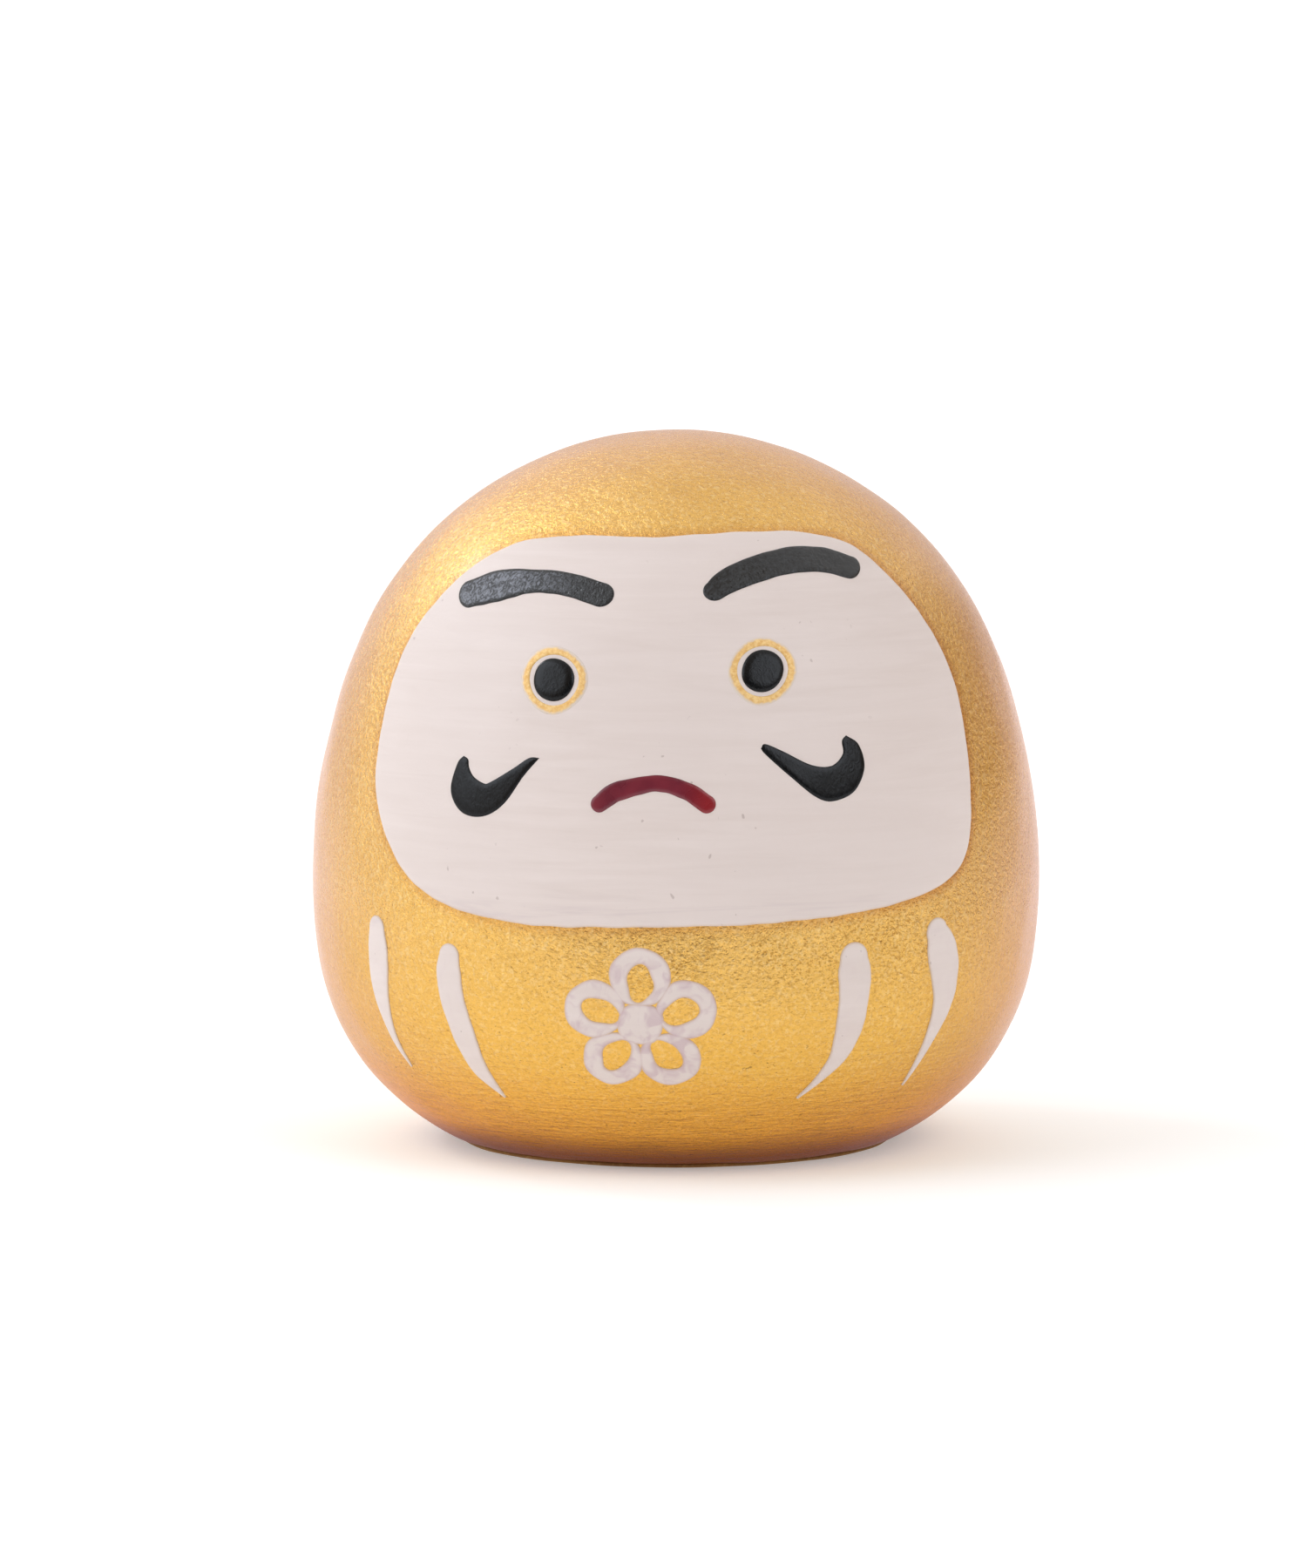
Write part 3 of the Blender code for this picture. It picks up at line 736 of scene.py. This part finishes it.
# Gold dust in thin size: dense by the drop, scattered at the outer edge, where white shows.
ring_gold = Paint("ring_gold", Roughness=0.5)
dust_grain = ring_gold.noise(2.8, detail=3.0, rough=0.65)
dust_patch = ring_gold.noise(0.6, detail=1.0)
cover = ring_gold.attribute("edge") * 1.5 + dust_grain * 1.2 + dust_patch * 0.7 - 1.15
cover = cover.between(0.0, 0.6)
dust_colour = ring_gold.mix(dust_grain.between(0.35, 0.65), linear("DDA84E"), linear("F2CF88"))
ring_colour = ring_gold.mix(cover * 0.9, linear("DBCDC2"), dust_colour)
ring_gold.feed_shader(Base_Color=ring_colour, Metallic=cover * 0.35)
ring_gold.bump(dust_grain, 0.06 * MM)


def enamel(name, gloss, crinkle):
    """Black enamel under a crinkled skin. At the outer end of one brow a grey sheen is painted in: a
    painted reflection of the side light.
    """
    black = Paint(name, IOR=gloss)
    skin = black.noise(1.5, stretch=(1.4, 1.4, 0.8), detail=3.0, rough=0.6, twist=1.6)
    cloud = black.noise(0.25, detail=1.0)
    pitch = black.mix(skin.between(0.3, 0.7), linear("0B0C0D"), linear("15171A"))
    place = black.places()
    outer_end = black.part(place, "X").between(-7.0, -14.0) * black.part(place, "Z").between(50.0, 52.0)
    inset = black.attribute("edge").between(0.6, 1.0)
    # The grey at the brow's outer end is a painted reflection of the side light, broken up by the
    # skin's crinkles.
    dull = outer_end * inset * (outer_end * 0.2 + skin.between(0.44, 0.58))
    pitch = black.mix(dull.math("MINIMUM", dull, 1.0), pitch, linear("7A7E88"))
    black.feed_shader(Base_Color=pitch, Roughness=0.12 + cloud * 0.16)
    black.bump(skin * (0.45 + outer_end * 1.1 + cloud.between(0.35, 0.65) * 0.65), crinkle)
    return black


enamel_black = enamel("black_enamel", 1.5, 0.16 * MM)
smooth_black = enamel("smooth_black_enamel", 1.32, 0.04 * MM)

for side, (angle, height) in EYES.items():
    middle = unrolled((angle, height))
    inside_radius = PUPIL_RADIUS + EYE_WHITE
    outside_radius = inside_radius + EYE_RING_WIDTH
    inner_loop = wavering(oval(middle, inside_radius, inside_radius, 0, EYE_SPOKES), 0.02 * MM, 11)
    outer_loop = wavering(oval(middle, outside_radius, outside_radius, 0, EYE_SPOKES), 0.05 * MM, 12)
    shell = ring_film(
        inner_loop, outer_loop, RING_THICKNESS, RING_SHOULDER, FACE_THICKNESS, RING_STEPS, RING_FADE
    )
    ring_mesh = grid_mesh("eye_ring_" + side, [shell])
    eye_ring = stand_piece(f"eye_ring_{side}_painted", ring_mesh, ring_gold)
    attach(eye_ring, "root")
    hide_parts("eye_ring_" + side)

    drop_loop = wavering(oval(middle, PUPIL_RADIUS, PUPIL_RADIUS, 0, EYE_SPOKES), 0.03 * MM, 13)
    shell = film_from_middle(
        drop_loop, middle, PUPIL_THICKNESS, PUPIL_SHOULDER, FACE_THICKNESS, 8, 20
    )
    pupil = stand_piece(f"pupil_{side}_painted", grid_mesh("pupil_" + side, [shell]), smooth_black)
    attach(pupil, "root")
    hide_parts("pupil_" + side)


# ---------------------------------------------------------------- brows and mouth
# Each is one stroke of a loaded round brush: black for the brows, dark red for the mouth. The
# paint stands in a soft ridge and ends round where the brush was lifted.

BROWS = {
    "brow_left": (
        (-41.0, 53.95, 2.85), (-36.0, 54.65, 3.3), (-31.2, 55.2, 3.1), (-26.3, 55.45, 2.55),
        (-21.3, 55.45, 2.6), (-16.2, 55.1, 2.6), (-11.1, 54.5, 2.65),
    ),
    "brow_right": (
        (11.8, 54.85, 2.2), (14.4, 55.6, 2.75), (19.8, 56.5, 3.05),
        (28.5, 57.3, 3.15), (37.5, 57.3, 2.9), (44.0, 56.45, 2.5),
    ),
}  # fmt: skip
MOUTH = (
    (-7.9, 35.85, 1.6), (-5.0, 37.0, 1.8), (1.0, 37.75, 1.5), (5.6, 37.1, 1.65), (8.8, 35.85, 1.65),
)  # fmt: skip
BROW_THICKNESS = 0.11 * MM
MOUTH_THICKNESS = 0.13 * MM
MOUTH_SHOULDER = 0.5 * MM
STROKE_SHOULDER = 0.4 * MM
STROKE_WAVE = 0.025 * MM
STROKE_ROWS_A_SPAN = 16
CAP_ROWS = 12
WAVER = 2.2 * MM
STROKE_STEPS = 21


def stroke_film(spine, thickness, shoulder, base, wave, seed):
    """A film along a brush stroke, from its middle line of places and widths in millimetres.

    Each row runs across the stroke over the top and back beneath. Beyond the line's ends the
    half width falls as a half circle does. The sides waver a little, as a hand does.
    """
    line = smooth(spine, False, STROKE_ROWS_A_SPAN)
    path, half = unrolled(line[:, :2]), line[:, 2] * MM / 2
    along = np.gradient(path, axis=0)
    along /= np.linalg.norm(along, axis=1)[:, None]
    swing = np.linspace(0, math.pi / 2, CAP_ROWS + 1)[1:, None]
    last = path[-1] + along[-1] * half[-1] * np.sin(swing)
    first = path[0] - along[0] * half[0] * np.sin(swing)
    path = np.vstack((first[::-1], path, last))
    along = np.vstack((np.repeat(along[:1], CAP_ROWS, 0), along, np.repeat(along[-1:], CAP_ROWS, 0)))
    cap = np.cos(swing[:, 0])
    half = np.concatenate(((half[0] * cap)[::-1], half, half[-1] * cap))
    aside = np.stack((-along[:, 1], along[:, 0]), -1)
    draw = np.random.default_rng(seed)
    run = np.append(0, np.cumsum(np.linalg.norm(np.diff(path, axis=0), axis=1)))
    turns, starts = run / (WAVER * draw.uniform(0.7, 2.5, (4, 2, 1))), draw.uniform(0, 6.3, (4, 2, 1))
    ripple = np.sin(turns * 2 * math.pi + starts).sum(0) * wave / 2 * np.minimum(1, half / half.max())
    left = path + aside * (half + ripple[0])[:, None]
    right = path - aside * (half + ripple[1])[:, None]
    share = (1 - np.cos(np.linspace(0, math.pi, STROKE_STEPS))) / 2
    flat = (left[:, None] + (right - left)[:, None] * share[None, :, None])[1:-1]
    depth = distance_to_loop(flat, np.vstack((left, right[::-1])))
    above, below, edge = film_shell(flat, depth, thickness, shoulder, base)
    points = np.concatenate((above, below[:, ::-4]), 1)
    return points, np.concatenate((edge, edge[:, ::-4]), 1), False


def stand_film(node, shells, paint):
    """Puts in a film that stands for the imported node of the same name."""
    piece = stand_piece(node + "_painted", grid_mesh(node, shells), paint)
    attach(piece, "root")
    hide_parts(node)


for seed, (node, spine) in enumerate(BROWS.items(), 21):
    shell = stroke_film(spine, BROW_THICKNESS, STROKE_SHOULDER, FACE_THICKNESS, STROKE_WAVE, seed)
    stand_film(node, [shell], enamel_black)

enamel_red = Paint("dark_red_enamel", IOR=1.47)
red_cloud = enamel_red.noise(0.35, detail=2.0)
side_on = enamel_red.part(enamel_red.places(), "X").between(2.6, 5.2)
red_colour = enamel_red.mix(red_cloud.between(0.35, 0.65), linear("631F2E"), linear("782835"))
red_colour = enamel_red.mix(side_on * 0.8, red_colour, linear("8E2226"))
enamel_red.feed_shader(Base_Color=red_colour, Roughness=0.22 + red_cloud * 0.12)
enamel_red.bump(enamel_red.noise(1.6, detail=2.0), 0.025 * MM)
mouth_shell = stroke_film(MOUTH, MOUTH_THICKNESS, MOUTH_SHOULDER, FACE_THICKNESS, 0.02 * MM, 31)
stand_film("mouth", [mouth_shell], enamel_red)


# ---------------------------------------------------------------- moustache
# Two hooked strokes in the same black enamel: the brush is pressed into a fat comma and
# flicked up towards the middle of the face. Each is worked out between its two edges.

MOUSTACHES = {
    "moustache_left": (
        (
            (-32.1, 39.6), (-33.1, 38.9), (-33.8, 36.8), (-32.9, 35.4), (-30.9, 34.4), (-28.2, 34.15),
            (-25.6, 34.6), (-23.2, 35.8), (-20.6, 38.1), (-18.2, 39.8),
        ),
        (
            (-32.1, 39.6), (-31.1, 39.3), (-30.7, 38.6), (-29.6, 37.8), (-27.6, 37.25), (-26.4, 37.4),
            (-22.7, 38.7), (-20.0, 39.75), (-18.2, 39.8),
        ),
    ),
    "moustache_right": (
        (
            (17.7, 40.8), (18.5, 40.2), (22.2, 38.2), (26.1, 36.3), (29.1, 35.8), (33.0, 36.6),
            (35.3, 38.7), (34.8, 40.8), (32.7, 41.7),
        ),
        (
            (17.7, 40.8), (18.5, 41.2), (21.4, 40.5), (25.8, 39.2), (29.3, 39.0), (31.6, 40.0),
            (31.8, 41.2), (32.7, 41.7),
        ),
    ),
}  # fmt: skip
HOOK_THICKNESS = 0.12 * MM
HOOK_SHOULDER = 0.5 * MM
HOOK_ROWS = 110


def evenly(curve, count):
    """As many points as asked for, evenly spaced along a curve."""
    run = np.append(0, np.cumsum(np.linalg.norm(np.diff(curve, axis=0), axis=1)))
    share = (1 - np.cos(np.linspace(0, math.pi, count))) / 2
    return np.stack([np.interp(share * run[-1], run, column) for column in curve.T], -1)


def hook_film(below_edge, above_edge, thickness, shoulder, base):
    """A film between two edges that meet at both tips, row by row across from one to the other."""
    lower = evenly(unrolled(smooth(below_edge, False, 12)), HOOK_ROWS)
    upper = evenly(unrolled(smooth(above_edge, False, 12)), HOOK_ROWS)
    share = (1 - np.cos(np.linspace(0, math.pi, STROKE_STEPS))) / 2
    flat = (lower[:, None] + (upper - lower)[:, None] * share[None, :, None])[1:-1]
    depth = distance_to_loop(flat, np.vstack((lower, upper[::-1])))
    above, below, edge = film_shell(flat, depth, thickness, shoulder, base)
    points = np.concatenate((above, below[:, ::-4]), 1)
    return points, np.concatenate((edge, edge[:, ::-4]), 1), False


for node, (lower, upper) in MOUSTACHES.items():
    shell = hook_film(lower, upper, HOOK_THICKNESS, HOOK_SHOULDER, FACE_THICKNESS)
    stand_film(node, [shell], smooth_black)


# ---------------------------------------------------------------- robe lines
# Four strokes of the face's white run down the gold belly, two on each side: set down fat and
# round at the top, and drawn out to a dry point as they curve in towards the foot.

ROBE_LINES = {
    "robe_line_outer_left": (
        (-49.5, 22.7, 2.5), (-49.6, 20.7, 3.2), (-49.8, 18.4, 3.0), (-49.8, 16.3, 2.4),
        (-49.7, 13.8, 1.5), (-49.4, 11.6, 0.9), (-48.2, 9.5, 0.3),
    ),
    "robe_line_inner_left": (
        (-33.3, 21.0, 2.4), (-33.6, 19.5, 2.95), (-33.5, 17.5, 2.9), (-32.8, 15.1, 2.8),
        (-32.0, 12.7, 2.5), (-30.8, 10.1, 1.75), (-28.0, 7.5, 0.3),
    ),
    "robe_line_inner_right": (
        (32.4, 21.2, 3.0), (32.6, 19.8, 3.5), (32.8, 17.2, 3.2), (32.6, 15.0, 2.95),
        (32.1, 13.0, 2.4), (31.1, 11.3, 1.55), (28.5, 9.3, 0.75), (25.9, 7.8, 0.3),
    ),
    "robe_line_outer_right": (
        (48.2, 22.9, 2.8), (49.1, 21.8, 3.8), (50.2, 20.0, 4.1), (50.8, 17.8, 3.4),
        (50.9, 15.7, 2.55), (50.3, 13.6, 1.75), (49.4, 11.2, 1.0), (48.1, 8.1, 0.3),
    ),
}  # fmt: skip

ROBE_LINE_THICKNESS = 0.12 * MM

robe_white = shell_white("robe_white", 0.7, 0.1)
for seed, (node, spine) in enumerate(ROBE_LINES.items(), 41):
    shell = stroke_film(spine, ROBE_LINE_THICKNESS, STROKE_SHOULDER, 0.0, STROKE_WAVE, seed)
    stand_film(node, [shell], robe_white)


# ---------------------------------------------------------------- crest
# A plum blossom brushed on the belly in thin white: five round petals, each one looping
# stroke left open in the middle, and a dab where they meet.

CREST_PLACE = (-1.5, 15.45)
PETALS = 5
PETAL_RADIUS = 2.85 * MM
PETAL_OVERLAP = 0.2 * MM
PETAL_LINE = 1.65 * MM
PETAL_STRETCH = 0.55 * MM
CREST_THICKNESS = 0.09 * MM
CREST_SHOULDER = 0.35 * MM
CREST_STEP = 0.006 * MM
PETAL_POINTS = 96
PETAL_STEPS = 17
DAB_HALF_SIZES = (2.2 * MM, 2.1 * MM)
DAB_LEAN = 0.3
DAB_POINTS = 72

crest_middle = unrolled(CREST_PLACE)
petal_distance = (PETAL_RADIUS - PETAL_OVERLAP) / math.sin(math.pi / PETALS)
opening = PETAL_RADIUS - PETAL_LINE
crest_shells = []
for petal in range(PETALS):
    turn = math.pi / 2 + petal * 2 * math.pi / PETALS
    way = np.array((math.cos(turn), math.sin(turn)))
    outer = oval(crest_middle + way * petal_distance, PETAL_RADIUS, PETAL_RADIUS, turn, PETAL_POINTS)
    inner_middle = crest_middle + way * (petal_distance - PETAL_STRETCH)
    inner = oval(inner_middle, opening + PETAL_STRETCH, opening, turn, PETAL_POINTS)
    outer, inner = wavering(outer, 0.05 * MM, 51 + petal), wavering(inner, 0.07 * MM, 61 + petal)
    petal_thickness = CREST_THICKNESS + CREST_STEP * petal
    crest_shells.append(
        ring_film(inner, outer, petal_thickness, CREST_SHOULDER, 0.0, PETAL_STEPS)
    )
dab = wavering(oval(crest_middle, *DAB_HALF_SIZES, DAB_LEAN, DAB_POINTS), 0.06 * MM, 71)
dab_thickness = CREST_THICKNESS + CREST_STEP * PETALS
crest_shells.append(
    film_from_middle(dab, crest_middle, dab_thickness, CREST_SHOULDER, 0.0, 8, 8)
)

crest_white = shell_white("crest_white", 0.8, 1.0)
stand_film("crest", crest_shells, crest_white)
